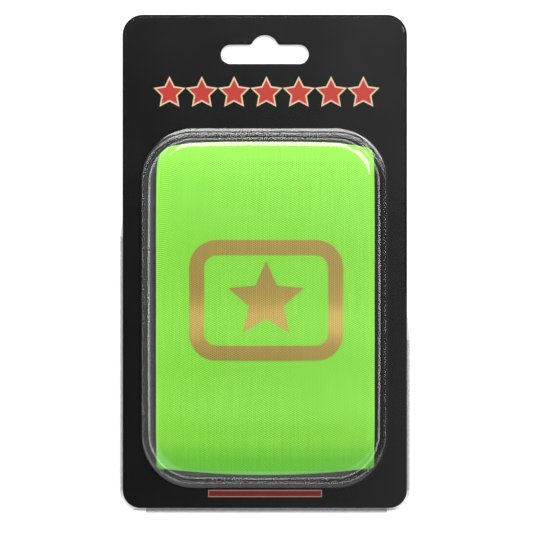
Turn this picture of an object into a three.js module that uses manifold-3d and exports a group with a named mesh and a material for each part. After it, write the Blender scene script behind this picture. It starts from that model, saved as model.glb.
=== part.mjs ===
// A captain's armband in its hanging blister pack, lying on its back.
// Millimetres. X is the card's width, Y runs up the card to its hanging slot, Z points out of the card.
// The origin is the middle of the underside of the whole pack.
import * as THREE from "three";
import { mergeVertices } from "three/addons/utils/BufferGeometryUtils.js";
import Module from "manifold-3d";

const wasm = await Module();
wasm.setup();

// Driving sizes of the armband: one closed loop of elastic, pressed flat.
const BAND_WIDTH = 77.6;
const BAND_LENGTH = 118.4;
const BAND_THICKNESS = 1.6;
const BAND_RISE = 11.6;
const BAND_END_BOW = 1.8;
const BAND_CORNER = 1.4;

// The gold print on the armband's face: a frame with a star in it. Its middle is given from the band's.
const MARK_X = 0.7;
const MARK_Y = 3;
const MARK_WIDTH = 55.3;
const MARK_HEIGHT = 43.3;
const MARK_CORNER = 10;
const MARK_BAR = 5.4;
const STAR_ROOM = 2;
const STAR_WAIST = 0.46;
const PRINT_THICKNESS = 0.3;
const PRINT_GAP = 0.2;

// The clear sheet that the blister is formed from, and its play over and under the card.
const SHEET = 0.5;
const CARD_PLAY = 0.3;
const CARD_THICKNESS = 0.8;

// The dome's room round the band, and the band's place in it.
const SIDE_ROOM = 5.9;
const END_ROOM = 6.3;
const HEAD_ROOM = 0.8;
const CORNER_ROOM = 2.15;
const BAND_OFF_X = 0.2;
const BAND_OFF_Y = 0.1;

// The dome's own form.
const FOOT_RADIUS = 1;
const SHOULDER_RADIUS = 4;
const SIDE_DRAFT = 6;
const END_DRAFT = 20;
const SIDE_BOW = 0.7;
const END_BOW = 1.2;
const CROWN = 0.8;

// The printed card round the dome's foot. The dome sits a little left of its middle.
const CARD_SIDE = 7;
const CARD_HEADER = 41.3;
const CARD_FOOTER = 7.1;
const CARD_TOP_CORNER = 7.4;
const CARD_BOTTOM_CORNER = 6.5;
const DOME_X = -0.4;

// The euro hanging slot: a long slot with a round hump over its middle.
const SLOT_WIDTH = 32;
const SLOT_HEIGHT = 7;
const SLOT_BELOW_TOP = 14.4;
const HUMP_RADIUS = 5;
const HUMP_RISE = 2;
const HUMP_FILLET = 1.4;
const FLANGE_SLOT_GROW = 0.5;
const FLANGE_SLOT_LIFT = 0.4;

// The flange's edge against the card's, above and below where the side folds start.
const FLANGE_INSET = 0.9;
const FLANGE_RIM = 0.9;

// The lips that the sheet is folded into, under the back of the card.
// The side folds run clear of the card's corners up to a height over its lower edge, and taper out above.
const LIP_OUT_SIDE = 1.1;
const LIP_OUT_BOTTOM = 1.6;
const LIP_BACK = 5;
const LEFT_FOLD = 98.6;
const LEFT_TAPER = 11.6;
const RIGHT_FOLD = 61.1;
const RIGHT_TAPER = 20;
const SIDE_LIP_PAST_CORNER = 0.1;
const BOTTOM_LIP_PAST_LEFT = 2;
const BOTTOM_LIP_PAST_RIGHT = 0.8;

// How finely round shapes are stepped.
const CORNER_STEPS = 8;
const SIDE_STEPS = 6;
const BAND_STEPS_PER_ROW = 2;

// Heights, from the plane that the lips lie on up to the band's face.
const CARD_BOTTOM = SHEET + CARD_PLAY;
const CARD_TOP = CARD_BOTTOM + CARD_THICKNESS;
const FLANGE_BOTTOM = CARD_TOP + CARD_PLAY;
const FLANGE_TOP = FLANGE_BOTTOM + SHEET;
const FOLD_RADIUS = FLANGE_TOP / 2;
const BAND_BOTTOM = CARD_TOP + CARD_PLAY;
const BAND_TOP = BAND_BOTTOM + BAND_RISE + BAND_THICKNESS;
const DOME_DEPTH = BAND_TOP + HEAD_ROOM + SHEET - FLANGE_TOP;

// The dome follows from the band, its corners from the room that the band's square corners need,
// and the card follows from the dome.
const DEGREE = Math.PI / 180;
const DOME_WIDTH = BAND_WIDTH + 2 * SIDE_ROOM;
const DOME_LENGTH = BAND_LENGTH + 2 * END_ROOM;
const CORNER_END_ROOM = END_ROOM + BAND_END_BOW;
const DOME_CORNER =
  SIDE_ROOM +
  CORNER_END_ROOM -
  CORNER_ROOM +
  Math.sqrt(2 * (SIDE_ROOM - CORNER_ROOM) * (CORNER_END_ROOM - CORNER_ROOM));
const HALF_WIDTH = DOME_WIDTH / 2 + CARD_SIDE;
const CARD_HEIGHT = DOME_LENGTH + CARD_HEADER + CARD_FOOTER;

// The lips stand past the card's lower edge, so the card's edges lie a little off the origin.
const CARD_HIGH = (CARD_HEIGHT + LIP_OUT_BOTTOM) / 2;
const CARD_LOW = CARD_HIGH - CARD_HEIGHT;
const SLOT_Y = CARD_HIGH - SLOT_BELOW_TOP;
const DOME_Y = CARD_LOW + CARD_FOOTER + DOME_LENGTH / 2;
const BAND_X = DOME_X + BAND_OFF_X;
const BAND_Y = DOME_Y + BAND_OFF_Y;
const STAR_RADIUS = MARK_HEIGHT / 2 - MARK_BAR - STAR_ROOM;
const LIP_FOOT = CARD_LOW + CARD_BOTTOM_CORNER + SIDE_LIP_PAST_CORNER;
const BOTTOM_LIP_LEFT = HALF_WIDTH - CARD_BOTTOM_CORNER - BOTTOM_LIP_PAST_LEFT;
const BOTTOM_LIP_RIGHT = HALF_WIDTH - CARD_BOTTOM_CORNER - BOTTOM_LIP_PAST_RIGHT;

// The band's mid-wall line, seen along X, from the middle of the run on the card round the +Y end.
// along is a share of half its length, up is a share of its rise.
const BAND_LINE = [
  { along: 0.0, up: 0.0 },
  { along: 0.3, up: 0.0 },
  { along: 0.6, up: 0.0 },
  { along: 0.82, up: 0.0 },
  { along: 0.92, up: 0.01 },
  { along: 0.972, up: 0.08 },
  { along: 0.992, up: 0.2 },
  { along: 0.982, up: 0.37 },
  { along: 0.955, up: 0.55 },
  { along: 0.905, up: 0.73 },
  { along: 0.84, up: 0.85 },
  { along: 0.75, up: 0.935 },
  { along: 0.64, up: 0.985 },
  { along: 0.52, up: 1.0 },
  { along: 0.38, up: 0.98 },
  { along: 0.24, up: 0.94 },
  { along: 0.1, up: 0.92 },
  { along: -0.05, up: 0.945 },
  { along: -0.2, up: 0.99 },
  { along: -0.32, up: 0.965 },
  { along: -0.44, up: 0.93 },
  { along: -0.56, up: 0.94 },
  { along: -0.68, up: 0.98 },
  { along: -0.77, up: 0.975 },
  { along: -0.86, up: 0.89 },
  { along: -0.93, up: 0.73 },
  { along: -0.972, up: 0.53 },
  { along: -0.99, up: 0.33 },
  { along: -0.99, up: 0.17 },
  { along: -0.968, up: 0.06 },
  { along: -0.91, up: 0.005 },
  { along: -0.8, up: 0.0 },
  { along: -0.6, up: 0.0 },
  { along: -0.3, up: 0.0 },
];

// Where the band is cut into sections across its width, as shares of half its width.
const BAND_CUTS = [-1, -0.985, -0.95, -0.8, -0.55, -0.28, 0, 0.28, 0.55, 0.8, 0.95, 0.985, 1];

// Heights at which the dome has a ring, as shares of its depth, and the crown's rings as shares of its top.
const DOME_LEVELS = [0, 0.012, 0.03, 0.064, 0.3, 0.55, 0.75, 0.84, 0.9, 0.945, 0.975, 0.993, 1];
const CROWN_RINGS = [0.85, 0.6, 0.3];

// A skin of triangles. Rings run counterclockwise seen from the side that the skin faces.
class Skin {
  constructor() {
    this.points = [];
    this.faces = [];
  }

  ring(points) {
    const first = this.points.length;
    this.points.push(...points);
    return points.map((_, i) => first + i);
  }

  strip(lower, upper) {
    for (let i = 0; i < lower.length; i++) {
      const j = (i + 1) % lower.length;
      this.faces.push(lower[i], lower[j], upper[j]);
      this.faces.push(lower[i], upper[j], upper[i]);
    }
  }

  fan(ring, centre) {
    const middle = this.ring([centre])[0];
    for (let i = 0; i < ring.length; i++) {
      this.faces.push(ring[i], ring[(i + 1) % ring.length], middle);
    }
  }

  geometry() {
    const flat = this.points.flatMap((p) => [p.x, p.y, p.z]);
    const geometry = new THREE.BufferGeometry();
    geometry.setAttribute("position", new THREE.Float32BufferAttribute(flat, 3));
    geometry.setIndex(this.faces);
    return geometry;
  }
}

function reversed(ring) {
  return [...ring].reverse();
}

function middleOf(points) {
  const sum = points.reduce((total, p) => total.add(p), new THREE.Vector3());
  return sum.divideScalar(points.length);
}

// A closed body through rings stacked one above the other.
function stack(levels) {
  const skin = new Skin();
  const rings = levels.map((points) => skin.ring(points));
  for (let i = 1; i < rings.length; i++) {
    skin.strip(rings[i - 1], rings[i]);
  }
  skin.fan(reversed(rings[0]), middleOf(levels[0]));
  skin.fan(rings.at(-1), middleOf(levels.at(-1)));
  return skin.geometry();
}

function toSolid(geometry) {
  const bare = geometry.clone();
  bare.deleteAttribute("normal");
  bare.deleteAttribute("uv");
  const merged = mergeVertices(bare, 1e-4);
  return new wasm.Manifold(
    new wasm.Mesh({
      numProp: 3,
      vertProperties: new Float32Array(merged.attributes.position.array),
      triVerts: new Uint32Array(merged.index.array),
    }),
  );
}

function toGeometry(solid) {
  const mesh = solid.getMesh();
  const geometry = new THREE.BufferGeometry();
  geometry.setAttribute("position", new THREE.BufferAttribute(mesh.vertProperties, 3));
  geometry.setIndex(new THREE.BufferAttribute(mesh.triVerts, 1));
  return geometry;
}

// A rounded rectangle whose sides bow outwards, as a ring of points.
function roundedRing({ x, y, z, halfX, halfY, corner, bowX = 0, bowY = 0 }) {
  const points = [];
  const reachX = halfX - corner;
  const reachY = halfY - corner;
  const corners = [
    { signX: 1, signY: -1, from: -90 },
    { signX: 1, signY: 1, from: 0 },
    { signX: -1, signY: 1, from: 90 },
    { signX: -1, signY: -1, from: 180 },
  ];
  for (const { signX, signY, from } of corners) {
    for (let i = 0; i <= CORNER_STEPS; i++) {
      const angle = (from + (90 * i) / CORNER_STEPS) * DEGREE;
      const px = x + signX * reachX + corner * Math.cos(angle);
      const py = y + signY * reachY + corner * Math.sin(angle);
      points.push(new THREE.Vector3(px, py, z));
    }
    const upright = signX * signY < 0;
    for (let i = 1; i < SIDE_STEPS; i++) {
      const along = (2 * i) / SIDE_STEPS - 1;
      const bulge = 1 - along * along;
      const side = upright
        ? new THREE.Vector3(signX * (halfX + bowX * bulge), signX * along * reachY, 0)
        : new THREE.Vector3(-signX * along * reachX, signX * (halfY + bowY * bulge), 0);
      points.push(side.add(new THREE.Vector3(x, y, z)));
    }
  }
  return points;
}

// The hanging slot's outline, grown by a margin all round.
function slotPath(x, y, grow) {
  const half = SLOT_HEIGHT / 2 + grow;
  const endX = SLOT_WIDTH / 2 - SLOT_HEIGHT / 2;
  const hump = HUMP_RADIUS + grow;
  const fillet = HUMP_FILLET - grow;
  const filletY = half + fillet;
  const filletX = Math.sqrt((hump + fillet) ** 2 - (filletY - HUMP_RISE) ** 2);
  const lean = Math.atan2(filletY - HUMP_RISE, filletX);
  const quarter = Math.PI / 2;
  const path = new THREE.Path();
  path.moveTo(x - endX, y - half);
  path.lineTo(x + endX, y - half);
  path.absarc(x + endX, y, half, -quarter, quarter, false);
  path.lineTo(x + filletX, y + half);
  path.absarc(x + filletX, y + filletY, fillet, 3 * quarter, Math.PI + lean, true);
  path.absarc(x, y + HUMP_RISE, hump, lean, Math.PI - lean, false);
  path.absarc(x - filletX, y + filletY, fillet, -lean, -quarter, true);
  path.lineTo(x - endX, y + half);
  path.absarc(x - endX, y, half, quarter, 3 * quarter, false);
  return path;
}

function plate(shape, thickness, z) {
  const options = { depth: thickness, bevelEnabled: false, curveSegments: CORNER_STEPS };
  return new THREE.ExtrudeGeometry(shape, options).translate(0, 0, z);
}

function cardShape() {
  const right = HALF_WIDTH;
  const top = CARD_HIGH;
  const bottom = CARD_LOW;
  const shape = new THREE.Shape();
  const quarter = Math.PI / 2;
  const low = CARD_BOTTOM_CORNER;
  const high = CARD_TOP_CORNER;
  shape.moveTo(-right + low, bottom);
  shape.absarc(right - low, bottom + low, low, -quarter, 0, false);
  shape.absarc(right - high, top - high, high, 0, quarter, false);
  shape.absarc(-right + high, top - high, high, quarter, 2 * quarter, false);
  shape.absarc(-right + low, bottom + low, low, 2 * quarter, 3 * quarter, false);
  shape.holes.push(slotPath(0, SLOT_Y, 0));
  return shape;
}

// The flange stays inside the card's edge at the top and stands past it lower down.
// Along each lip it ends where the fold begins.
function flangeShape() {
  const inner = HALF_WIDTH - FLANGE_INSET;
  const outer = HALF_WIDTH + FLANGE_RIM;
  const fold = HALF_WIDTH + LIP_OUT_SIDE - FOLD_RADIUS;
  const foldBottom = CARD_LOW - LIP_OUT_BOTTOM + FOLD_RADIUS;
  const top = CARD_HIGH - FLANGE_INSET;
  const bottom = CARD_LOW - FLANGE_RIM;
  const high = CARD_TOP_CORNER - FLANGE_INSET;
  const low = CARD_BOTTOM_CORNER + FLANGE_RIM;
  const shape = new THREE.Shape();
  const quarter = Math.PI / 2;
  shape.moveTo(-BOTTOM_LIP_LEFT, bottom);
  shape.lineTo(-BOTTOM_LIP_LEFT, foldBottom);
  shape.lineTo(BOTTOM_LIP_RIGHT, foldBottom);
  shape.lineTo(BOTTOM_LIP_RIGHT, bottom);
  shape.absarc(outer - low, bottom + low, low, -quarter, 0, false);
  shape.lineTo(outer, LIP_FOOT);
  shape.lineTo(fold, LIP_FOOT);
  shape.lineTo(fold, CARD_LOW + RIGHT_FOLD);
  shape.lineTo(outer, CARD_LOW + RIGHT_FOLD);
  shape.lineTo(inner, CARD_LOW + RIGHT_FOLD + RIGHT_TAPER);
  shape.absarc(inner - high, top - high, high, 0, quarter, false);
  shape.absarc(-inner + high, top - high, high, quarter, 2 * quarter, false);
  shape.lineTo(-inner, CARD_LOW + LEFT_FOLD + LEFT_TAPER);
  shape.lineTo(-outer, CARD_LOW + LEFT_FOLD);
  shape.lineTo(-fold, CARD_LOW + LEFT_FOLD);
  shape.lineTo(-fold, LIP_FOOT);
  shape.lineTo(-outer, LIP_FOOT);
  shape.absarc(-outer + low, bottom + low, low, 2 * quarter, 3 * quarter, false);
  shape.holes.push(slotPath(0, SLOT_Y + FLANGE_SLOT_LIFT, FLANGE_SLOT_GROW));
  return shape;
}

// A folded lip's section: out past the card's edge at 0, round, and back under the card.
function lipShape(out) {
  const turn = out - FOLD_RADIUS;
  const quarter = Math.PI / 2;
  const shape = new THREE.Shape();
  shape.moveTo(-LIP_BACK, 0);
  shape.lineTo(turn, 0);
  shape.absarc(turn, FOLD_RADIUS, FOLD_RADIUS, -quarter, quarter, false);
  shape.lineTo(-LIP_BACK, FLANGE_TOP);
  shape.lineTo(-LIP_BACK, FLANGE_BOTTOM);
  shape.absarc(turn, FOLD_RADIUS, FOLD_RADIUS - SHEET, quarter, -quarter, true);
  shape.lineTo(-LIP_BACK, SHEET);
  return shape;
}

// A lip that runs down the card's right edge from its top end, turned about Z onto its own edge.
function lip({ out, length, turned, x, y }) {
  const options = { depth: length, bevelEnabled: false, curveSegments: CORNER_STEPS };
  const geometry = new THREE.ExtrudeGeometry(lipShape(out), options);
  geometry.rotateX(Math.PI / 2);
  geometry.rotateZ(turned * DEGREE);
  return geometry.translate(x, y, 0);
}

// How far the dome's wall has moved in at a height over the flange. sunk is 0 outside, SHEET inside.
function wallInset(height, draft, sunk) {
  const lean = draft * DEGREE;
  const foot = FOOT_RADIUS + sunk;
  const shoulder = SHOULDER_RADIUS - sunk;
  const turn = DOME_DEPTH - SHOULDER_RADIUS;
  const footTop = FOOT_RADIUS - FOOT_RADIUS * Math.sin(lean);
  const wallTop = turn + SHOULDER_RADIUS * Math.sin(lean);
  const run = (wallTop - footTop) * Math.tan(lean);
  const turnInset = (FOOT_RADIUS + SHOULDER_RADIUS) * Math.cos(lean) + run;
  const start = FOOT_RADIUS - foot * Math.sin(lean);
  const end = turn + shoulder * Math.sin(lean);
  if (height < start) {
    const angle = Math.acos(Math.min(1, (FOOT_RADIUS - height) / foot));
    return foot * Math.sin(angle);
  }
  if (height < end) {
    return foot * Math.cos(lean) + (height - start) * Math.tan(lean);
  }
  const up = Math.min(shoulder, height - turn);
  return turnInset - Math.sqrt(shoulder * shoulder - up * up);
}

function domeRing(height, sunk) {
  const side = wallInset(height, SIDE_DRAFT, sunk);
  const end = wallInset(height, END_DRAFT, sunk);
  const bowed = Math.max(0, height) / DOME_DEPTH;
  return roundedRing({
    x: DOME_X,
    y: DOME_Y,
    z: FLANGE_TOP + height,
    halfX: DOME_WIDTH / 2 - side,
    halfY: DOME_LENGTH / 2 - end,
    corner: DOME_CORNER - (side + end) / 2,
    bowX: SIDE_BOW * bowed,
    bowY: END_BOW * bowed,
  });
}

// The dome's outside, or with sunk its hollow, from below the flange to the top of the crown.
function domeBody(sunk, below) {
  const low = -sunk;
  const high = DOME_DEPTH - sunk;
  const levels = DOME_LEVELS.map((share) => domeRing(low + share * (high - low), sunk));
  const under = levels[0].map((p) => new THREE.Vector3(p.x, p.y, below));
  const rim = levels.at(-1);
  const centre = new THREE.Vector3(DOME_X, DOME_Y, FLANGE_TOP + high);
  const crown = CROWN_RINGS.map((share) =>
    rim.map((p) => {
      const point = p.clone().sub(centre).multiplyScalar(share).add(centre);
      point.z += CROWN * (1 - share * share);
      return point;
    }),
  );
  return stack([under, ...levels, ...crown]);
}

function blisterGeometry() {
  const lips = [
    {
      out: LIP_OUT_SIDE,
      length: CARD_LOW + RIGHT_FOLD - LIP_FOOT,
      turned: 0,
      x: HALF_WIDTH,
      y: CARD_LOW + RIGHT_FOLD,
    },
    {
      out: LIP_OUT_SIDE,
      length: CARD_LOW + LEFT_FOLD - LIP_FOOT,
      turned: 180,
      x: -HALF_WIDTH,
      y: LIP_FOOT,
    },
    {
      out: LIP_OUT_BOTTOM,
      length: BOTTOM_LIP_LEFT + BOTTOM_LIP_RIGHT,
      turned: -90,
      x: BOTTOM_LIP_RIGHT,
      y: CARD_LOW,
    },
  ];
  let sheet = toSolid(plate(flangeShape(), SHEET, FLANGE_BOTTOM));
  for (const one of lips) {
    sheet = sheet.add(toSolid(lip(one)));
  }
  sheet = sheet.add(toSolid(domeBody(0, FLANGE_BOTTOM)));
  return toGeometry(sheet.subtract(toSolid(domeBody(SHEET, CARD_TOP))));
}

// Half the band's length at a share of half its width: its ends bow, and its corners are soft.
function bandHalfLength(share) {
  const across = Math.abs(share);
  const fromEdge = (1 - across) * (BAND_WIDTH / 2);
  const soft = Math.max(0, BAND_CORNER - fromEdge);
  const rounding = BAND_CORNER - Math.sqrt(BAND_CORNER * BAND_CORNER - soft * soft);
  return BAND_LENGTH / 2 - BAND_END_BOW * across ** 3 - rounding / 2;
}

// The band's section at a share of half its width, as an outer and an inner ring facing +X.
function bandSection(share) {
  const half = bandHalfLength(share) - BAND_THICKNESS / 2;
  const low = BAND_BOTTOM + BAND_THICKNESS / 2;
  const rows = BAND_LINE.map(
    ({ along, up }) => new THREE.Vector3(0, along * half, low + up * BAND_RISE),
  );
  const line = new THREE.CatmullRomCurve3(rows, true, "centripetal");
  const count = rows.length * BAND_STEPS_PER_ROW;
  const x = BAND_X + (share * BAND_WIDTH) / 2;
  const outer = [];
  const inner = [];
  for (let i = 0; i < count; i++) {
    const point = line.getPoint(i / count);
    const tangent = line.getTangent(i / count);
    const out = new THREE.Vector3(0, tangent.z, -tangent.y).multiplyScalar(BAND_THICKNESS / 2);
    const place = new THREE.Vector3(x, BAND_Y, 0).add(point);
    outer.push(place.clone().add(out));
    inner.push(place.clone().sub(out));
  }
  return { outer, inner };
}

function bandGeometry() {
  const skin = new Skin();
  const rings = BAND_CUTS.map(bandSection).map(({ outer, inner }) => ({
    outer: skin.ring(outer),
    inner: skin.ring(inner),
  }));
  for (let i = 1; i < rings.length; i++) {
    skin.strip(rings[i - 1].outer, rings[i].outer);
    skin.strip(rings[i].inner, rings[i - 1].inner);
  }
  skin.strip(rings[0].inner, rings[0].outer);
  skin.strip(rings.at(-1).outer, rings.at(-1).inner);
  return skin.geometry();
}

// The height of the band's face over a point of the card, read off its section there.
function faceHeight(x, y) {
  const share = (x - BAND_X) / (BAND_WIDTH / 2);
  const { outer } = bandSection(share);
  const face = outer.filter((p) => p.z > BAND_BOTTOM + BAND_RISE / 2);
  const next = Math.max(1, face.findIndex((p) => p.y <= y));
  const [a, b] = [face[next - 1], face[next]];
  return a.z + ((b.z - a.z) * (y - a.y)) / (b.y - a.y);
}

// A thin print that follows the band's face. Its rings are nested, the outermost first.
function printGeometry(rings, filled) {
  const skin = new Skin();
  const lifted = (ring, lift) =>
    skin.ring(ring.map((p) => new THREE.Vector3(p.x, p.y, faceHeight(p.x, p.y) + lift)));
  const low = rings.map((ring) => lifted(ring, PRINT_GAP));
  const high = rings.map((ring) => lifted(ring, PRINT_GAP + PRINT_THICKNESS));
  skin.strip(low[0], high[0]);
  for (let i = 1; i < rings.length; i++) {
    skin.strip(high[i - 1], high[i]);
    skin.strip(low[i], low[i - 1]);
  }
  if (filled) {
    const centre = middleOf(rings.at(-1));
    centre.z = faceHeight(centre.x, centre.y) + PRINT_GAP;
    skin.fan(reversed(low.at(-1)), centre);
    skin.fan(high.at(-1), centre.clone().setZ(centre.z + PRINT_THICKNESS));
  } else {
    skin.strip(high.at(-1), low.at(-1));
  }
  return skin.geometry();
}

function markRing(inset) {
  return roundedRing({
    x: BAND_X + MARK_X,
    y: BAND_Y + MARK_Y,
    z: 0,
    halfX: MARK_WIDTH / 2 - inset,
    halfY: MARK_HEIGHT / 2 - inset,
    corner: MARK_CORNER - inset,
  });
}

// A five-pointed star's outline, each edge in steps, at a share of its size.
function starRing(share) {
  const points = [];
  const corner = (i) => {
    const radius = share * STAR_RADIUS * (i % 2 ? STAR_WAIST : 1);
    const angle = Math.PI / 2 + (i * Math.PI) / 5;
    return new THREE.Vector3(radius * Math.cos(angle), radius * Math.sin(angle), 0);
  };
  for (let i = 0; i < 10; i++) {
    for (let step = 0; step < SIDE_STEPS; step++) {
      const point = corner(i).lerp(corner(i + 1), step / SIDE_STEPS);
      points.push(point.add(new THREE.Vector3(BAND_X + MARK_X, BAND_Y + MARK_Y, 0)));
    }
  }
  return points;
}

const group = new THREE.Group();

function addPiece(name, geometry, look) {
  const mesh = new THREE.Mesh(geometry, new THREE.MeshStandardMaterial(look));
  mesh.name = name;
  group.add(mesh);
}

const CLEAR = { color: 0xe8edf0, roughness: 0.08, metalness: 0, transparent: true, opacity: 0.25 };
const BLACK = { color: 0x1c1c1e, roughness: 0.4, metalness: 0 };
const GREEN = { color: 0x8fe84f, roughness: 0.85, metalness: 0 };
const GOLD = { color: 0xc49a5a, roughness: 0.35, metalness: 0.9 };

addPiece("backing_card", plate(cardShape(), CARD_THICKNESS, CARD_BOTTOM), BLACK);
addPiece("blister", blisterGeometry(), CLEAR);
addPiece("armband", bandGeometry(), GREEN);
addPiece("gold_frame", printGeometry([0, 0.5, 1].map((share) => markRing(share * MARK_BAR)), false), GOLD);
addPiece("gold_star", printGeometry([1, 0.75, 0.5, 0.25].map(starRing), true), GOLD);

export default group;
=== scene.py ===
"""The looks of an armband packed under a clear dome on a hanging card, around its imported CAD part."""

import math

import bmesh
import bpy
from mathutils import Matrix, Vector, noise


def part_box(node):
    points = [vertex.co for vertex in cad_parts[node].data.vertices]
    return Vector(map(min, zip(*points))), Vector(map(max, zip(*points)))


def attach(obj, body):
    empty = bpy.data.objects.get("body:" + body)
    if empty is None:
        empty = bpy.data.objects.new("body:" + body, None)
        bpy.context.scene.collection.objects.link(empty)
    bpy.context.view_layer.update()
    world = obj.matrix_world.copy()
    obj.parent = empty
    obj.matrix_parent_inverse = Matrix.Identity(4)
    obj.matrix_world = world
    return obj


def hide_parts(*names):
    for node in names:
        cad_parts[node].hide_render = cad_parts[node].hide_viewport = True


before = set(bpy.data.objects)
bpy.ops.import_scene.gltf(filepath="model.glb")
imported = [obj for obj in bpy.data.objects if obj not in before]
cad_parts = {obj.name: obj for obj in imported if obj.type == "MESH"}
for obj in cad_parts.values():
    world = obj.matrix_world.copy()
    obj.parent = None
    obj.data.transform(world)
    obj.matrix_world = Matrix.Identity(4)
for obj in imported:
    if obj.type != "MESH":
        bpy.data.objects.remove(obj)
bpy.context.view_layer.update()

# Everything is in metres, in the CAD frame: +X across the card, +Y up to its slot, +Z out through the dome.
MM = 0.001
DEGREE = math.pi / 180
TINY = 0.01 * MM

# How far a cutter reaches past what it cuts.
CUTTER_REACH = 5 * MM

card_low, card_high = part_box("backing_card")
band_low, band_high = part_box("armband")
mark_low, mark_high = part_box("gold_frame")

# The card and the flat part of the clear sheet over it.
HALF_CARD = (card_high.x - card_low.x) / 2
CARD_TOP = card_high.z
GAP = 0.3 * MM
SHEET = 0.5 * MM
SHEET_TOP = CARD_TOP + GAP + SHEET
FLANGE_INSET = 0.9 * MM
FLANGE_RIM = 0.9 * MM
TOP_CORNER = 7.4 * MM
BOTTOM_CORNER = 6.5 * MM

# The hanging slot in the sheet, a little larger than the one in the card.
SLOT_Y = card_high.y - 14 * MM
SLOT_HALF_WIDTH = 16.5 * MM
SLOT_HALF_HEIGHT = 4 * MM
HUMP_RADIUS = 5.5 * MM
HUMP_RISE = 2 * MM
HUMP_FILLET = 0.9 * MM

# The lips that fold round the card's edges, and how grey the sheet is painted along each fold: painted
# shade for the dark card seen through the fold.
LIP_OUT = 1.1 * MM
LIP_OUT_BOTTOM = 1.6 * MM
LIP_BACK = 5 * MM
FOLD_RADIUS = SHEET_TOP / 2
FOLD_BLEND = 0.2 * MM
SIDE_FOLD_SHADE = 0.45
BOTTOM_FOLD_SHADE = 0.75
LIP_FOOT = card_low.y + BOTTOM_CORNER + 0.1 * MM
LEFT_FOLD = card_low.y + 98.6 * MM
LEFT_TAPER = LEFT_FOLD + 11.6 * MM
RIGHT_FOLD = card_low.y + 61.1 * MM
RIGHT_TAPER = RIGHT_FOLD + 20 * MM
BOTTOM_LIP_LEFT = -HALF_CARD + BOTTOM_CORNER + 2 * MM
BOTTOM_LIP_RIGHT = HALF_CARD - BOTTOM_CORNER - 0.8 * MM

# The dome. A flat collar joins it to the flange. A foot, a wall that leans in by the draft and a
# shoulder lead up to its face, which rises in a low crown. The bows round its four sides outwards.
DOME_MIDDLE = Vector((-0.25 * MM, card_low.y + 72.75 * MM, SHEET_TOP))
DOME_HALF_X = HALF_CARD - 7.1 * MM
DOME_HALF_Y = 65.65 * MM
DOME_CORNER = 19 * MM
DOME_CORNER_STEPS = 24
DOME_SIDE_CUTS = 15
DOME_HEADROOM = 0.8 * MM
DOME_DEPTH = band_high.z + DOME_HEADROOM + SHEET - SHEET_TOP
SIDE_FOOT = 0.7 * MM
SIDE_SHOULDER = 6.6 * MM
SIDE_DRAFT = 5 * DEGREE
END_FOOT = 3.4 * MM
END_SHOULDER = 5.6 * MM
END_DRAFT = 0.5 * DEGREE
SIDE_BOW = 0.7 * MM
END_BOW = 1.2 * MM
CROWN = 0.8 * MM
CROWN_SHARES = (0.95, 0.86, 0.75, 0.62, 0.48, 0.34, 0.2, 0.08)
COLLAR = 1 * MM
CUT_EDGE = 0.2 * MM

# The armband: one strip of knitted elastic closed into a loop and pressed flat. It is a little wider
# than the CAD loop, on its right edge.
BAND_WIDTH = band_high.x - band_low.x + 0.8 * MM
BAND_MIDDLE = (band_low + band_high) / 2
BAND_THICKNESS = 1.6 * MM
BAND_RISE = 11.6 * MM
BAND_LOW = CARD_TOP + GAP + BAND_THICKNESS / 2
BAND_HALF_LENGTH = 60.7 * MM
TOP_END_BOW = 2.6 * MM
BOTTOM_END_BOW = 2.5 * MM
BAND_CORNER = 0.8 * MM
TOP_LEFT_CORNER = 5.8 * MM
TOP_RIGHT_CORNER = 2.4 * MM
EDGE_PRESS = 0.7 * MM
EDGE_PRESS_RUN = 4 * MM
SELVEDGE = 1.4 * MM
RIBS = 54
RIB_PITCH = (BAND_WIDTH - 2 * SELVEDGE) / RIBS
RIB_RELIEF = 0.03 * MM
STITCH_PITCH = 0.79 * MM
CLOTH_UNEVEN = 0.16 * MM
CLOTH_LUMP_X = 17 * MM
CLOTH_LUMP_Y = 13 * MM
CLOTH_SEED = 3
HEM_ROUND = 0.35 * MM
# Where painted shade deepens the knit's green, as the loop's lower end slopes away from the light.
PAINTED_SHADE_TOP = band_low.y + 11.5 * MM
PAINTED_SHADE_FOOT = band_low.y + 4 * MM

# The loop's mid line seen along X, from the middle of the run on the card round the +Y end.
# Each pair is a share of half its length and a share of its rise.
BAND_LINE = [
    (0.0, 0.0), (0.3, 0.0), (0.6, 0.0), (0.82, 0.0), (0.92, 0.01), (0.972, 0.08),
    (0.992, 0.2), (0.982, 0.37), (0.955, 0.53), (0.905, 0.69), (0.84, 0.8),
    (0.75, 0.885), (0.64, 0.95), (0.54, 0.99), (0.44, 1.0), (0.32, 0.975),
    (0.18, 0.935), (0.02, 0.915), (-0.18, 0.985), (-0.28, 0.985), (-0.44, 0.94),
    (-0.56, 0.95), (-0.67, 0.985), (-0.75, 0.95), (-0.83, 0.84), (-0.9, 0.67),
    (-0.958, 0.48), (-0.99, 0.3), (-0.99, 0.15), (-0.968, 0.05), (-0.91, 0.005),
    (-0.8, 0.0), (-0.6, 0.0), (-0.3, 0.0),
]
LINE_STEPS = 5

# The gold print on the armband's face.
MARK_MIDDLE = (mark_low + mark_high) / 2
MARK_CORNER = 10 * MM
MARK_BAR = 5.4 * MM
MARK_TO_STAR = 2 * MM
STAR_RADIUS = (mark_high.y - mark_low.y) / 2 - MARK_BAR - MARK_TO_STAR
STAR_WAIST = 0.46
FILM = 0.1 * MM
FILM_LIFT = 0.14 * MM
FILM_MARGIN_X = 1 * MM
FILM_MARGIN_Y = 2 * MM

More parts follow.
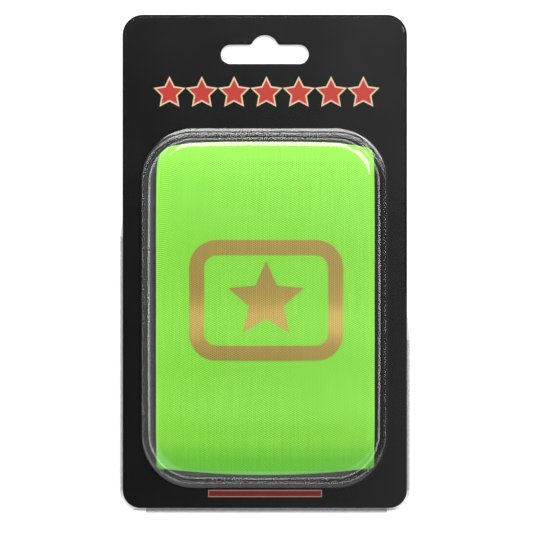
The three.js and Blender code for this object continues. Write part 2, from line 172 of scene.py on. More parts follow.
# The print on the card: a row of stars above the dome and a slim bar below it.
PRINT = 0.06 * MM
ROW_STARS = 7
ROW_PITCH = 11.75 * MM
ROW_MIDDLE = Vector((0.6, 62.0, 0)) * MM
ROW_RADIUS = 6.15 * MM
ROW_WAIST = 0.5
ROW_OUTLINE = 0.55 * MM
BAR_MIDDLE = Vector((0.1, -83.6, 0)) * MM
BAR_SIZE = Vector((41.4, 2.6, 0)) * MM
BAR_OUTLINE = 0.35 * MM

# The camera hangs over the middle of the picture, and its lens gives 2.75 px to 1 mm on the card.
CAMERA_X = 0.62 * MM
CAMERA_Y = -1.24 * MM
CAMERA_AWAY = 0.9
CAMERA_LENS = 166.86
TABLE_HALF = 3


# Camera, light and floor.


def add_camera():
    """Looks straight down on the lying pack."""
    lens = bpy.data.cameras.new("camera")
    lens.sensor_width = 36
    lens.lens = CAMERA_LENS
    camera = bpy.data.objects.new("camera", lens)
    camera.location = (CAMERA_X, CAMERA_Y, CARD_TOP + CAMERA_AWAY)
    bpy.context.scene.collection.objects.link(camera)
    bpy.context.scene.camera = camera


def add_softbox(name, azimuth, elevation, distance, size, radiance):
    """A soft light turned to the pack. Azimuth 0 is on the card's right, and 90 beyond its slot."""
    lamp = bpy.data.lights.new(name, "AREA")
    lamp.shape = "RECTANGLE"
    lamp.size, lamp.size_y = size
    lamp.energy = radiance * math.pi * size[0] * size[1]
    softbox = bpy.data.objects.new(name, lamp)
    level = math.cos(elevation * DEGREE)
    away = Vector((
        level * math.cos(azimuth * DEGREE),
        level * math.sin(azimuth * DEGREE),
        math.sin(elevation * DEGREE),
    ))
    softbox.location = away * distance
    softbox.rotation_euler = away.to_track_quat("Z", "Y").to_euler()
    softbox.visible_camera = False
    bpy.context.scene.collection.objects.link(softbox)


def set_world():
    """The studio that the pack mirrors, dim beside the white that the camera sees round the pack.

    The ceiling straight overhead is lighter to the card's right. Dim walls stand round it, with a
    faint panel in front of the card's foot, and a bright band of light runs round the room low down.
    """
    scene = bpy.context.scene
    scene.view_settings.view_transform = "Standard"
    world = bpy.data.worlds.new("studio")
    world.use_nodes = True
    tree = world.node_tree
    tree.nodes.clear()
    seen = Wire(tree.nodes.new("ShaderNodeLightPath").outputs["Is Camera Ray"])
    right, up, out = Wire(tree.nodes.new("ShaderNodeTexCoord").outputs["Generated"]).axes()
    ceiling = (0.08 + 0.9 * right + 0.05 * up).maths("MAXIMUM", 0.02)
    walls = (0.6 - 0.4 * right) * (1.2 - 0.9 * out) * (0.2 + 0.8 * out.ramped(-0.02, 0.02))
    panel = 0.4 * up.ramped(-0.27, -0.33) * out.ramped(0.5, 0.6)
    low_band = (5.2 + 1.2 * up) * out.ramped(0, 0.04) * out.ramped(0.18, 0.12)
    overhead = out.ramped(0.955, 0.968)
    studio = ceiling * overhead + (walls + panel) * (1 - overhead) + low_band
    dim = seen.node("ShaderNodeBackground", sockets={"Color": (1, 1, 1, 1), "Strength": studio})
    white = seen.node("ShaderNodeBackground", sockets={"Color": (1, 1, 1, 1), "Strength": 1.0})
    mixed = seen.node("ShaderNodeMixShader", sockets={0: seen, 1: dim, 2: white})
    seen.node("ShaderNodeOutputWorld", sockets={"Surface": mixed})
    scene.world = world


# Materials.


class Wire:
    """An output socket of a node. Arithmetic on wires adds Math nodes beside it."""

    def __init__(self, socket):
        self.socket = socket

    def node(self, kind, settings=None, sockets=None, out=0):
        """A new node: its settings are set first, then the values or wires of its sockets."""
        tree = self.socket.id_data
        made = tree.nodes.new(kind)
        for name, value in (settings or {}).items():
            setattr(made, name, value)
        for name, value in (sockets or {}).items():
            if isinstance(value, Wire):
                tree.links.new(value.socket, made.inputs[name])
            else:
                made.inputs[name].default_value = value
        return Wire(made.outputs[out]) if made.outputs else None

    def maths(self, operation, *values):
        """One Math node on this wire and the values that follow it."""
        return self.node("ShaderNodeMath", {"operation": operation}, dict(enumerate((self, *values))))

    def __add__(self, other):
        return self.maths("ADD", other)

    def __sub__(self, other):
        return self.maths("SUBTRACT", other)

    def __rsub__(self, other):
        return self.node("ShaderNodeMath", {"operation": "SUBTRACT"}, {0: other, 1: self})

    def __mul__(self, other):
        return self.maths("MULTIPLY", other)

    def __pow__(self, other):
        return self.maths("POWER", other)

    __radd__ = __add__
    __rmul__ = __mul__

    def axes(self):
        """The three parts of a place."""
        split = self.node("ShaderNodeSeparateXYZ", sockets={"Vector": self})
        return [Wire(socket) for socket in split.socket.node.outputs]

    def mixed(self, first, second):
        """The colour that goes from the first to the second as this wire goes from 0 to 1."""
        return self.node("ShaderNodeMix", {"data_type": "RGBA"}, {0: self, 6: first, 7: second}, out=2)

    def ramped(self, low, high):
        """0 below the low value and 1 above the high one, with an even slope between them."""
        return self.node("ShaderNodeMapRange", sockets={"Value": self, "From Min": low, "From Max": high})

    def grain(self, size, detail=3, stretch=(1, 1, 1)):
        """Soft noise about 0.5 with lumps of a size in this wire's unit, stretched along its axes."""
        scaled = self.node(
            "ShaderNodeVectorMath",
            {"operation": "MULTIPLY"},
            {0: self, 1: tuple(1 / (size * k) for k in stretch)},
        )
        return self.node("ShaderNodeTexNoise", sockets={"Vector": scaled, "Scale": 1, "Detail": detail})

    def bump(self, depth, strength=1):
        """The normal that this height gives, as deep as said in metres."""
        sockets = {"Strength": strength, "Distance": depth, "Height": self}
        return self.node("ShaderNodeBump", sockets=sockets)

    def cover(self, **sockets):
        """Ends the material with a principled surface."""
        named = {name.replace("_", " "): value for name, value in sockets.items()}
        shader = self.node("ShaderNodeBsdfPrincipled", sockets=named)
        self.node("ShaderNodeOutputMaterial", sockets={"Surface": shader})


def new_finish(name, source="Object"):
    """An empty material and the wire of the coordinates that it reads."""
    material = bpy.data.materials.new(name)
    material.use_nodes = True
    tree = material.node_tree
    tree.nodes.clear()
    return material, Wire(tree.nodes.new("ShaderNodeTexCoord").outputs[source])


def board_finish():
    """Black coated board: soft gloss in front, paper fibre at its cut edge, plain black behind."""
    material, place = new_finish("black_board")
    height = place.axes()[2]
    face = height.ramped(CARD_TOP - 2 * TINY, CARD_TOP - TINY)
    fibre = place.grain(0.25 * MM, detail=4, stretch=(1, 1, 0.3))
    cloud = place.grain(22 * MM, detail=2)
    cut = fibre.mixed((0.05, 0.048, 0.046, 1), (0.12, 0.115, 0.11, 1))
    ink = cloud.mixed((0.0045, 0.0042, 0.0044, 1), (0.0065, 0.006, 0.0062, 1))
    place.cover(
        Base_Color=face.mixed(cut, ink),
        Roughness=0.12 + 0.1 * cloud + 0.06 * fibre,
        Normal=fibre.bump(0.02 * MM, 0.35),
        IOR=1.5,
    )
    return material


def ink_finish(name, light, dark):
    """Printed ink: a colour with the fine mottle of offset printing."""
    material, place = new_finish(name)
    mottle = place.grain(0.5 * MM, detail=4)
    cloud = place.grain(7 * MM, detail=2)
    tone = 0.55 * mottle + 0.45 * cloud
    place.cover(
        Base_Color=tone.ramped(0.3, 0.7).mixed(dark, light),
        Roughness=0.3 + 0.15 * mottle,
        Normal=mottle.bump(0.01 * MM, 0.3),
    )
    return material


def stitches(place):
    """The knit's ribs, staggered stitches and uneven yarn, each from 0 to 1, on the cloth's own map."""
    across, along, _ = place.axes()
    column = across * (2 * math.pi * BAND_WIDTH / RIB_PITCH)
    course = along * (2 * math.pi * LOOP_LENGTH / STITCH_PITCH)
    rib = 0.5 - 0.5 * (2 * column).maths("COSINE")
    stitch = 0.5 + 0.17 * (column + course).maths("COSINE") + 0.33 * (column - course).maths("COSINE")
    flat = place.node(
        "ShaderNodeVectorMath",
        {"operation": "MULTIPLY"},
        {0: place, 1: (BAND_WIDTH, LOOP_LENGTH, 1)},
    )
    yarn = flat.grain(0.45 * MM, detail=3)
    streak = flat.grain(0.7 * MM, detail=2, stretch=(1, 26, 1))
    return rib, stitch, yarn, streak


def knit_finish():
    """Neon green knitted elastic, with painted shade: a deeper green where it slopes down away from the
    light at the loop's lower end.
    """
    material, place = new_finish("neon_knit", "UV")
    rib, stitch, yarn, streak = stitches(place)
    # The knit is drawn on the cloth's own map. Output 3 is the place in the part's frame.
    along = place.node("ShaderNodeTexCoord", out=3).axes()[1]
    # Painted shade: the green deepens towards the loop's lower end, where it slopes away from the light.
    painted_slope_shade = along.ramped(PAINTED_SHADE_TOP, PAINTED_SHADE_FOOT)
    tone = 0.5 * stitch + 0.05 * rib + 0.25 * yarn + 0.2 * streak - 0.25 * painted_slope_shade
    height = 0.6 * stitch + 0.1 * rib + 0.3 * yarn
    place.cover(
        Base_Color=tone.ramped(0.2, 0.8).mixed((0.09, 0.56, 0.004, 1), (0.46, 1, 0.088, 1)),
        Roughness=0.54 - 0.12 * stitch,
        Normal=height.bump(0.14 * MM, 1),
        Sheen_Weight=0.1,
        Sheen_Roughness=0.4,
    )
    return material


def gold_finish():
    """Satin gold film that takes the knit's ribs and stitches."""
    material, place = new_finish("gold_film", "UV")
    rib, stitch, yarn, streak = stitches(place)
    tone = 0.4 * stitch + 0.15 * rib + 0.25 * yarn + 0.2 * streak
    height = 0.5 * stitch + 0.25 * rib + 0.25 * yarn
    place.cover(
        Base_Color=tone.ramped(0.2, 0.8).mixed((0.36, 0.25, 0.055, 1), (0.84, 0.6, 0.19, 1)),
        Roughness=0.46 - 0.12 * stitch,
        Normal=height.bump(0.12 * MM, 0.6),
        Metallic=0.8,
    )
    return material


def clear_finish():
    """Clear sheet: seen through, mirroring more the flatter it is looked along, and greyer in its folds by
    painted shade.
    """
    material, place = new_finish("clear_sheet_gloss")
    across, along, _ = place.axes()
    # Painted shade: the sheet turns a see-through grey along its folds, standing in for the dark card and
    # the mirroring seen through the bent sheet.
    side_fold_shade = SIDE_FOLD_SHADE * across.maths("ABSOLUTE").ramped(HALF_CARD, HALF_CARD + FOLD_BLEND)
    bottom_fold_shade = BOTTOM_FOLD_SHADE * along.ramped(card_low.y, card_low.y - FOLD_BLEND)
    fold = (side_fold_shade + bottom_fold_shade).maths("MINIMUM", BOTTOM_FOLD_SHADE)
    ripple = place.grain(12 * MM, detail=1, stretch=(1, 1, 4))
    normal = ripple.bump(0.05 * MM, 0.03)
    facing = place.node("ShaderNodeLayerWeight", sockets={"Blend": 0.5}, out=1)
    mirror = 0.055 + 0.945 * facing**5
    clear = place.node("ShaderNodeBsdfTransparent", sockets={"Color": (0.985, 0.99, 0.99, 1)})
    # The grey of the painted fold shade.
    painted_fold_grey = place.node("ShaderNodeBsdfTransparent", sockets={"Color": (0.66, 0.65, 0.67, 1)})
    through = place.node("ShaderNodeMixShader", sockets={0: fold, 1: clear, 2: painted_fold_grey})
    gloss = place.node(
        "ShaderNodeBsdfAnisotropic",
        sockets={"Color": (1, 1, 1, 1), "Roughness": 0.09, "Normal": normal},
    )
    sheet = place.node("ShaderNodeMixShader", sockets={0: mirror, 1: through, 2: gloss})
    place.node("ShaderNodeOutputMaterial", sockets={"Surface": sheet})
    return material


def table_finish():
    """The white table that the pack lies on."""
    material, place = new_finish("white_table")
    cloud = place.grain(60 * MM, detail=2)
    place.cover(
        Base_Color=cloud.mixed((0.9, 0.9, 0.9, 1), (0.92, 0.92, 0.92, 1)),
        Roughness=0.9,
        Emission_Color=(1, 1, 1, 1),
        Emission_Strength=0.4,
    )
    return material


# Modelling by hand.


def choose(piece):
    """Selects one piece and no other."""
    bpy.ops.object.select_all(action="DESELECT")
    piece.select_set(True)
    bpy.context.view_layer.objects.active = piece


def edit(piece):
    """Opens one piece in edit mode."""
    choose(piece)
    bpy.ops.object.mode_set(mode="EDIT")


def pick(piece, kind, wanted):
    """Selects the vertices, edges or faces that the test says yes to, and nothing else."""
    bpy.ops.mesh.select_mode(type=kind)
    bpy.ops.mesh.select_all(action="DESELECT")
    body = bmesh.from_edit_mesh(piece.data)
    for part in {"VERT": body.verts, "EDGE": body.edges, "FACE": body.faces}[kind]:
        if wanted(part):
            part.select_set(True)
    body.select_flush_mode()
    bmesh.update_edit_mesh(piece.data)


def done():
    """Leaves edit mode."""
    bpy.ops.object.mode_set(mode="OBJECT")


def middle(part):
    """The middle of an edge or face."""
    return sum((vertex.co for vertex in part.verts), Vector()) / len(part.verts)


def extrude(*way):
    """Draws what is selected out along the way."""
    bpy.ops.mesh.extrude_region_move(TRANSFORM_OT_translate={"value": way})


def resize(x, y, z, around):
    """Scales what is selected about a fixed place."""
    bpy.ops.transform.resize(value=(x, y, z), center_override=around)


def finish_with(piece, kind, **settings):
    """Adds a modifier and applies it."""
    choose(piece)
    modifier = piece.modifiers.new(kind.lower(), kind)
    for name, value in settings.items():
        setattr(modifier, name, value)
    bpy.ops.object.modifier_apply(modifier=modifier.name)


def cut_with(piece, operation, cutter):
    """Cuts a piece by another one, which is then thrown away."""
    finish_with(piece, "BOOLEAN", operation=operation, object=cutter, solver="EXACT")
    bpy.data.objects.remove(cutter)


def smooth(piece, angle):
    """Shades a piece smooth, with a crease where its faces turn by more than the angle in degrees."""
    choose(piece)
    bpy.ops.object.shade_smooth_by_angle(angle=angle * DEGREE)


def join(pieces, name):
    """Joins pieces into the first one."""
    bpy.ops.object.select_all(action="DESELECT")
    for piece in pieces:
        piece.select_set(True)
    bpy.context.view_layer.objects.active = pieces[0]
    bpy.ops.object.join()
    pieces[0].name = name
    pieces[0].data.name = name
    return pieces[0]


def add_panel(name, centre, half_x, half_y):
    """A flat upward-facing rectangle."""
    bpy.ops.object.select_all(action="DESELECT")
    bpy.ops.mesh.primitive_plane_add(size=2, location=centre)
    panel = bpy.context.object
    panel.name = name
    panel.data.name = name
    panel.scale = (half_x, half_y, 1)
    bpy.ops.object.transform_apply()
    return panel


def add_plate(name, outline, low, high):
    """A flat plate with the given outline, from a many-sided disc whose corners are moved to it."""
    bpy.ops.object.select_all(action="DESELECT")
    bpy.ops.mesh.primitive_circle_add(vertices=len(outline), fill_type="NGON")
    plate = bpy.context.object
    plate.name = name
    plate.data.name = name
    for vertex, point in zip(plate.data.vertices, outline):
        vertex.co = (point[0], point[1], low)
    edit(plate)
    bpy.ops.mesh.select_all(action="SELECT")
    extrude(0, 0, high - low)
    bpy.ops.mesh.select_all(action="SELECT")
    bpy.ops.mesh.normals_make_consistent(inside=False)
    done()
    return plate


def star_outline(centre, radius, waist):
    """A five-pointed star that points up the card."""
    points = []
    for i in range(10):
        reach = radius * (waist if i % 2 else 1)
        angle = math.pi / 2 + i * math.pi / 5
        points.append((centre.x + reach * math.cos(angle), centre.y + reach * math.sin(angle)))
    return points


def arc(x, y, radius, start, end, steps=12):
    """Points on an arc between two angles in degrees."""
    points = []
    for i in range(steps + 1):
        angle = (start + (end - start) * i / steps) * DEGREE
        points.append((x + radius * math.cos(angle), y + radius * math.sin(angle)))
    return points


# The clear sheet.


def slot_outline():
    """A bar with round ends and a hump in the middle of its upper side."""
    half = SLOT_HALF_HEIGHT
    end_x = SLOT_HALF_WIDTH - half
    fillet_y = half + HUMP_FILLET
    fillet_x = math.sqrt((HUMP_RADIUS + HUMP_FILLET) ** 2 - (fillet_y - HUMP_RISE) ** 2)
    lean = math.atan2(fillet_y - HUMP_RISE, fillet_x) / DEGREE
    return [
        *arc(end_x, SLOT_Y, half, -90, 90),
        *arc(fillet_x, SLOT_Y + fillet_y, HUMP_FILLET, 270, 180 + lean, 5),
        *arc(0, SLOT_Y + HUMP_RISE, HUMP_RADIUS, lean, 180 - lean),
        *arc(-fillet_x, SLOT_Y + fillet_y, HUMP_FILLET, -lean, -90, 5),
        *arc(-end_x, SLOT_Y, half, 90, 270),
    ]


def wall_inset(height, foot, shoulder, draft):
    """How far the dome's wall has moved in at a height over the flange."""
    foot_top = foot * (1 - math.sin(draft))
    turn = DOME_DEPTH - shoulder
    wall_top = turn + shoulder * math.sin(draft)
    if height < foot_top:
        return math.sqrt(foot**2 - (foot - height) ** 2)
    if height < wall_top:
        return foot * math.cos(draft) + (height - foot_top) * math.tan(draft)
    run = (wall_top - foot_top) * math.tan(draft)
    up = min(shoulder, height - turn)
    return (foot + shoulder) * math.cos(draft) + run - math.sqrt(shoulder**2 - up**2)


def dome_heights():
    """Heights of the dome's rings, by even turns of both feet and the shoulder, with the wall between."""
    side = [SIDE_FOOT * (1 - math.cos(k * 20 * DEGREE)) for k in range(1, 5)]
    end = [END_FOOT * (1 - math.cos(k * 9 * DEGREE)) for k in range(5, 10)]
    turn = DOME_DEPTH - SIDE_SHOULDER
    wall = [end[-1] + (turn - end[-1]) * k / 4 for k in range(1, 4)]
    shoulder = [turn + SIDE_SHOULDER * math.sin(k * 6 * DEGREE) for k in range(16)]
    return side + end + wall + shoulder


def add_dome():
    """The dome's outer face, raised from a rounded panel ring by ring."""
    dome = add_panel("clear_blister", DOME_MIDDLE, DOME_HALF_X + COLLAR, DOME_HALF_Y + COLLAR)
    edit(dome)
    bpy.ops.mesh.bevel(offset=DOME_CORNER + COLLAR, segments=DOME_CORNER_STEPS, affect="VERTICES")
    bpy.ops.mesh.delete(type="ONLY_FACE")
    # Only the four sides are as long as a corner's radius.
    pick(dome, "EDGE", lambda edge: edge.calc_length() > DOME_CORNER)
    bpy.ops.mesh.subdivide(number_cuts=DOME_SIDE_CUTS)
    bpy.ops.mesh.select_all(action="SELECT")
    bpy.ops.mesh.edge_face_add()
    if bmesh.from_edit_mesh(dome.data).faces[:][0].normal.z < 0:
        bpy.ops.mesh.flip_normals()
    bpy.ops.mesh.inset(thickness=COLLAR, depth=0)
    side, end, height = 0, 0, 0
    for level in dome_heights():
        next_side = wall_inset(level, SIDE_FOOT, SIDE_SHOULDER, SIDE_DRAFT)
        next_end = wall_inset(level, END_FOOT, END_SHOULDER, END_DRAFT)
        step = next_side - side
        bpy.ops.mesh.inset(thickness=step, depth=level - height)
        resize(1, (DOME_HALF_Y - next_end) / (DOME_HALF_Y - end - step), 1, DOME_MIDDLE)
        side, end, height = next_side, next_end, level
    before = 1
    for share in CROWN_SHARES:
        extrude(0, 0, CROWN * (before**2 - share**2))
        resize(share / before, share / before, 1, DOME_MIDDLE)
        before = share
    bpy.ops.mesh.poke()
    done()
    for vertex in dome.data.vertices:
        off = vertex.co - DOME_MIDDLE
        rise = max(0, min(1, off.z / DOME_DEPTH))
        across, along = off.x / DOME_HALF_X, off.y / DOME_HALF_Y
        vertex.co.x += SIDE_BOW * rise * across * max(0, 1 - along**2)
        vertex.co.y += END_BOW * rise * along * max(0, 1 - across**2)
    return dome


def over_bottom_lip(face):
    """Whether a face of the flange lies over the lip at the card's lower edge."""
    at = middle(face)
    return at.y < LIP_FOOT and BOTTOM_LIP_LEFT < at.x < BOTTOM_LIP_RIGHT


def add_flange():
    """The outline of the sheet's flat part: narrow beside the header, and wide down to the folds."""
    outer = HALF_CARD + FLANGE_RIM
    top, bottom = card_high.y - FLANGE_INSET, card_low.y - FLANGE_RIM
    fold = HALF_CARD + LIP_OUT - FOLD_RADIUS
    fold_bottom = card_low.y - LIP_OUT_BOTTOM + FOLD_RADIUS
    flange = add_panel("flange", (0, (top + bottom) / 2, SHEET_TOP), outer, (top - bottom) / 2)
    edit(flange)
    pick(flange, "VERT", lambda vertex: vertex.co.y < 0)
    bpy.ops.mesh.bevel(offset=BOTTOM_CORNER + FLANGE_RIM, segments=12, affect="VERTICES")
    for level in (LIP_FOOT, RIGHT_FOLD, RIGHT_TAPER, LEFT_FOLD, LEFT_TAPER):
        bpy.ops.mesh.select_all(action="SELECT")
        bpy.ops.mesh.bisect(plane_co=(0, level, 0), plane_no=(0, 1, 0))
    for side, taper in ((-1, LEFT_TAPER), (1, RIGHT_TAPER)):
        pick(flange, "VERT", lambda v: v.co.x * side > outer - TINY and v.co.y > taper - TINY)
        bpy.ops.transform.translate(value=(-side * (FLANGE_RIM + FLANGE_INSET), 0, 0))
    pick(flange, "VERT", lambda vertex: vertex.co.y > top - TINY)
    bpy.ops.mesh.bevel(offset=TOP_CORNER - FLANGE_INSET, segments=12, affect="VERTICES")
    for side, lip_top in ((-1, LEFT_FOLD), (1, RIGHT_FOLD)):
        pick(flange, "FACE", lambda face: LIP_FOOT < middle(face).y < lip_top)
        bpy.ops.mesh.bisect(plane_co=(side * fold, 0, 0), plane_no=(1, 0, 0))
        pick(flange, "FACE", lambda face: middle(face).x * side > fold and middle(face).y < lip_top)
        bpy.ops.mesh.delete(type="FACE")
    for end in (BOTTOM_LIP_LEFT, BOTTOM_LIP_RIGHT):
        pick(flange, "FACE", lambda face: middle(face).y < LIP_FOOT)
        bpy.ops.mesh.bisect(plane_co=(end, 0, 0), plane_no=(1, 0, 0))
    pick(flange, "FACE", over_bottom_lip)
    bpy.ops.mesh.bisect(plane_co=(0, fold_bottom, 0), plane_no=(0, 1, 0))
    pick(flange, "FACE", lambda face: over_bottom_lip(face) and middle(face).y < fold_bottom)
    bpy.ops.mesh.delete(type="FACE")
    bpy.ops.mesh.select_mode(type="FACE")
    bpy.ops.mesh.select_all(action="SELECT")
    bpy.ops.mesh.dissolve_faces()
    bpy.ops.mesh.delete(type="ONLY_FACE")
    done()
    return flange, fold, fold_bottom


def fold_lip(sheet, on_fold, centre, axis, back):
    """Turns the edges on a fold line half round under the card, and runs them back under it."""
    pick(sheet, "EDGE", lambda edge: edge.is_boundary and all(on_fold(v.co) for v in edge.verts))
    bpy.ops.mesh.spin(steps=12, angle=math.pi, center=centre, axis=axis)
    extrude(*back)


def add_blister():
    """The clear sheet in one piece: flange, dome and folded lips."""
    flange, fold, fold_bottom = add_flange()
    sheet = join([add_dome(), flange], "clear_blister")
    edit(sheet)
    pick(sheet, "EDGE", lambda edge: len(edge.link_faces) < 2)
    bpy.ops.mesh.fill()
    run = fold - (HALF_CARD - LIP_BACK)
    fold_lip(
        sheet,
        lambda p: abs(p.x + fold) < TINY and LIP_FOOT - TINY < p.y < LEFT_FOLD + TINY,
        (-fold, 0, FOLD_RADIUS),
        (0, 1, 0),
        (run, 0, 0),
    )
    fold_lip(
        sheet,
        lambda p: abs(p.x - fold) < TINY and LIP_FOOT - TINY < p.y < RIGHT_FOLD + TINY,
        (fold, 0, FOLD_RADIUS),
        (0, -1, 0),
        (-run, 0, 0),
    )
    fold_lip(
        sheet,
        lambda p: abs(p.y - fold_bottom) < TINY,
        (0, fold_bottom, FOLD_RADIUS),
        (-1, 0, 0),
        (0, card_low.y + LIP_BACK - fold_bottom, 0),
    )
    bpy.ops.mesh.select_all(action="SELECT")
    bpy.ops.mesh.normals_make_consistent(inside=False)
    if max(bmesh.from_edit_mesh(sheet.data).faces, key=bmesh.types.BMFace.calc_area).normal.z < 0:
        bpy.ops.mesh.flip_normals()
    done()
    finish_with(sheet, "SOLIDIFY", thickness=SHEET, offset=-1, use_even_offset=True)
    cut_with(sheet, "DIFFERENCE", add_plate("slot", slot_outline(), 0, CUTTER_REACH))
    finish_with(
        sheet,
        "BEVEL",
        width=CUT_EDGE,
        segments=2,
        limit_method="ANGLE",
        angle_limit=60 * DEGREE,
    )
    smooth(sheet, 35)
    finish_with(sheet, "WEIGHTED_NORMAL", keep_sharp=True)
    return sheet


# The armband.


def smooth_loop(points):
    """Points on a smooth closed line through the given ones."""
    line = []
    count = len(points)
    for i in range(count):
        a, b, c, d = (points[(i + k) % count] for k in (-1, 0, 1, 2))
        t1 = (b - a).length ** 0.5
        t2 = t1 + (c - b).length ** 0.5
        t3 = t2 + (d - c).length ** 0.5
        for step in range(LINE_STEPS):
            t = t1 + (t2 - t1) * step / LINE_STEPS
            share = (t - t1) / (t2 - t1)
            straight = b.lerp(c, share)
            near = a.lerp(b, t / t1).lerp(straight, t / t2)
            far = straight.lerp(c.lerp(d, (t - t2) / (t3 - t2)), (t - t1) / (t3 - t1))
            line.append(near.lerp(far, share))
    return line


def band_rows():
    """The loop's mid line in the middle of the band, each row with its way out and the run so far."""
    reach = BAND_HALF_LENGTH - BAND_THICKNESS / 2
    knots = [Vector((0, along * reach, up * BAND_RISE)) for along, up in BAND_LINE]
    line = smooth_loop(knots)
    rows = []
    run = 0
    for i, point in enumerate(line):
        ahead = line[(i + 1) % len(line)] - line[i - 1]
        out = Vector((0, ahead.z, -ahead.y)).normalized()
        run += (point - line[i - 1]).length if i else 0
        rows.append((point.y / reach, point.z, out, run))
    return rows, run + (line[0] - line[-1]).length


ROWS, LOOP_LENGTH = band_rows()


def band_columns():
    """Places across the band, as distances from its left edge, each with its relief."""
    columns = [(SELVEDGE * k / 4, math.sin(k / 4 * math.pi)) for k in range(4)]
    for k in range(4 * RIBS + 1):
        columns.append((SELVEDGE + RIB_PITCH * k / 4, 0.5 - 0.5 * math.cos(k * math.pi / 2)))
    return columns + [(BAND_WIDTH - across, relief) for across, relief in reversed(columns[:4])]


def add_cloth(name, columns, rows, lift, closed):
    """A stretch of the band's outer face, ribbed and a little uneven, with the cloth's own flat map."""
    points = []
    for along, rise, out, _ in rows:
        for across, relief in columns:
            share = abs(2 * across / BAND_WIDTH - 1)
            top = along > 0
            corner = BAND_CORNER
            if top:
                corner = TOP_LEFT_CORNER if across < BAND_WIDTH / 2 else TOP_RIGHT_CORNER
            soft = max(0, corner - (1 - share) * BAND_WIDTH / 2)
            rounding = corner - math.sqrt(corner**2 - soft**2)
            bow = TOP_END_BOW * share**4 if top else BOTTOM_END_BOW * share**2
            half = BAND_HALF_LENGTH - BAND_THICKNESS / 2 - bow - rounding
            x = band_low.x + across
            y = BAND_MIDDLE.y + along * half
            lumps = noise.noise(Vector((x / CLOTH_LUMP_X, y / CLOTH_LUMP_Y, CLOTH_SEED)))
            uneven = CLOTH_UNEVEN * lumps * max(0, rise / BAND_RISE - 0.5)
            near_side = max(0, 1 - (1 - share) * BAND_WIDTH / 2 / EDGE_PRESS_RUN)
            press = EDGE_PRESS * near_side**2 * max(0, 2 * rise / BAND_RISE - 1)
            stand = BAND_THICKNESS / 2 + RIB_RELIEF * relief + uneven - press + lift
            points.append(Vector((x, y, BAND_LOW + rise)) + out * stand)
    wide = len(columns)
    faces = []
    map_rows = []
    for i in range(len(rows) if closed else len(rows) - 1):
        j = (i + 1) % len(rows)
        for k in range(wide - 1):
            faces.append((i * wide + k, j * wide + k, j * wide + k + 1, i * wide + k + 1))
            runs = rows[i][3], (rows[j][3] if j else LOOP_LENGTH)
            left, right = columns[k][0] / BAND_WIDTH, columns[k + 1][0] / BAND_WIDTH
            low, high = (run / LOOP_LENGTH for run in runs)
            map_rows += [(left, low), (left, high), (right, high), (right, low)]
    mesh = bpy.data.meshes.new(name)
    mesh.from_pydata(points, [], faces)
    flat_map = mesh.uv_layers.new(name="cloth")
    for corner, place in zip(flat_map.data, map_rows):
        corner.uv = place
    cloth = bpy.data.objects.new(name, mesh)
    bpy.context.scene.collection.objects.link(cloth)
    return cloth


def add_armband():
    """The whole loop, with its wall."""
    band = add_cloth("knit_armband", band_columns(), ROWS, 0, True)
    finish_with(band, "SOLIDIFY", thickness=BAND_THICKNESS, offset=-1)
    finish_with(
        band,
        "BEVEL",
        width=HEM_ROUND,
        segments=2,
        limit_method="ANGLE",
        angle_limit=60 * DEGREE,
    )
    smooth(band, 60)
    return band


def add_film(name, cutter):
    """A thin print on the band's upper face, as wide and long as its cutter says."""
    low_x = mark_low.x - band_low.x - FILM_MARGIN_X
    high_x = mark_high.x - band_low.x + FILM_MARGIN_X
    columns = [c for c in band_columns() if low_x < c[0] < high_x]
    reach = BAND_HALF_LENGTH
    low_y = (mark_low.y - FILM_MARGIN_Y - BAND_MIDDLE.y) / reach
    high_y = (mark_high.y + FILM_MARGIN_Y - BAND_MIDDLE.y) / reach
    rows = [r for r in ROWS if r[1] > BAND_RISE / 2 and low_y < r[0] < high_y]
    film = add_cloth(name, columns, rows, FILM_LIFT, False)
    finish_with(film, "SOLIDIFY", thickness=FILM, offset=-1)
    cut_with(film, "INTERSECT", cutter)
    smooth(film, 40)
    return film


def add_frame_cutter():
    """A tall ring with rounded corners, as large as the gold frame."""
    half_x = (mark_high.x - mark_low.x) / 2
    half_y = (mark_high.y - mark_low.y) / 2
    centre = (MARK_MIDDLE.x, MARK_MIDDLE.y, band_high.z - CUTTER_REACH)
    ring = add_panel("frame_cutter", centre, half_x, half_y)
    edit(ring)
    bpy.ops.mesh.bevel(offset=MARK_CORNER, segments=16, affect="VERTICES")
    bpy.ops.mesh.inset(thickness=MARK_BAR, depth=0)
    bpy.ops.mesh.delete(type="FACE")
    bpy.ops.mesh.select_all(action="SELECT")
    extrude(0, 0, 2 * CUTTER_REACH)
    bpy.ops.mesh.select_all(action="SELECT")
    bpy.ops.mesh.normals_make_consistent(inside=False)
    done()
    return ring


def add_star_cutter():
    """A tall star in the middle of the gold frame."""
    outline = star_outline(MARK_MIDDLE, STAR_RADIUS, STAR_WAIST)
    return add_plate("star_cutter", outline, band_high.z - CUTTER_REACH, band_high.z + CUTTER_REACH)


# The print on the card.


def outlined(piece, outline, inks):
    """Gives a flat plate a border of the second ink round a field of the first."""
    piece.data.materials.clear()
    for ink in inks:
        piece.data.materials.append(ink)
    edit(piece)
    pick(piece, "FACE", lambda face: face.normal.z > 0.5)
    piece.active_material_index = 1
    bpy.ops.mesh.select_all(action="SELECT")
    bpy.ops.object.material_slot_assign()
    pick(piece, "FACE", lambda face: face.normal.z > 0.5)
    bpy.ops.mesh.inset(thickness=outline, depth=0.2 * PRINT)
    piece.active_material_index = 0
    bpy.ops.object.material_slot_assign()
    done()


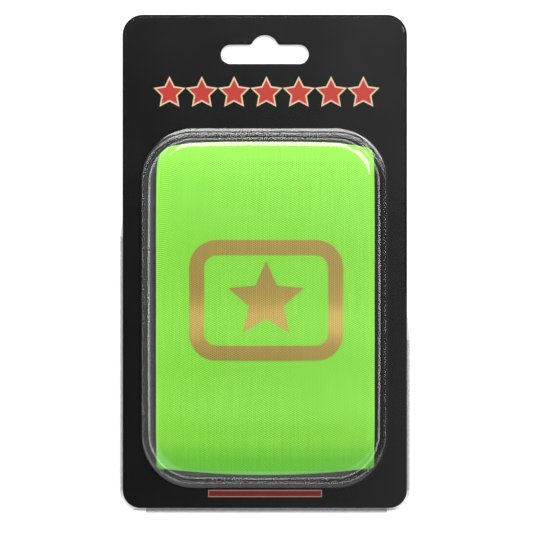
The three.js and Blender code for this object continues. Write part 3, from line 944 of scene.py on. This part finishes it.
def add_star_row(inks):
    """One star, copied along the header."""
    first = ROW_MIDDLE - Vector(((ROW_STARS - 1) / 2 * ROW_PITCH, 0, 0))
    outline = star_outline(first, ROW_RADIUS, ROW_WAIST)
    star = add_plate("star", outline, CARD_TOP + TINY, CARD_TOP + PRINT)
    outlined(star, ROW_OUTLINE, inks)
    stars = [star]
    for i in range(1, ROW_STARS):
        copy = star.copy()
        copy.data = star.data.copy()
        bpy.context.scene.collection.objects.link(copy)
        for vertex in copy.data.vertices:
            vertex.co.x += i * ROW_PITCH
        stars.append(copy)
    return join(stars, "star_row")


def add_label_bar(inks):
    """The slim bar near the card's lower edge."""
    half = BAR_SIZE / 2
    outline = [
        (BAR_MIDDLE.x + x * half.x, BAR_MIDDLE.y + y * half.y)
        for x, y in ((-1, -1), (1, -1), (1, 1), (-1, 1))
    ]
    bar = add_plate("label_bar", outline, CARD_TOP + TINY, CARD_TOP + PRINT)
    outlined(bar, BAR_OUTLINE, inks)
    return bar


def wear(piece, material):
    """Puts a finish on a new piece and makes it move with the part's body."""
    if material:
        piece.data.materials.clear()
        piece.data.materials.append(material)
    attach(piece, "root")


add_camera()
set_world()
add_softbox("key", azimuth=91, elevation=54, distance=1.0, size=(0.62, 0.56), radiance=5.5)
add_softbox("corner", azimuth=42, elevation=54, distance=1.0, size=(0.34, 0.56), radiance=5.7)

# The sheet mirrors the studio and not the bright table.
floor = add_panel("floor", (0, 0, 0), TABLE_HALF, TABLE_HALF)
floor.data.materials.append(table_finish())
floor.visible_glossy = False

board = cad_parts["backing_card"]
board.data.materials.clear()
board.data.materials.append(board_finish())

red_ink = ink_finish("red_ink", (0.66, 0.04, 0.024, 1), (0.56, 0.03, 0.018, 1))
cream_ink = ink_finish("cream_ink", (0.9, 0.72, 0.48, 1), (0.78, 0.6, 0.38, 1))
dark_red_ink = ink_finish("dark_red_ink", (0.27, 0.014, 0.014, 1), (0.2, 0.01, 0.01, 1))
pink_ink = ink_finish("pink_ink", (0.6, 0.32, 0.26, 1), (0.5, 0.24, 0.2, 1))
star_row = add_star_row([red_ink, cream_ink])
wear(star_row, None)
label_bar = add_label_bar([dark_red_ink, pink_ink])
wear(label_bar, None)

armband = add_armband()
wear(armband, knit_finish())
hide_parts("armband")

gold = gold_finish()
gold_border = add_film("gold_border", add_frame_cutter())
wear(gold_border, gold)
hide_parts("gold_frame")
gold_centre = add_film("gold_centre", add_star_cutter())
wear(gold_centre, gold)
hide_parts("gold_star")

blister = add_blister()
wear(blister, clear_finish())
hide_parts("blister")
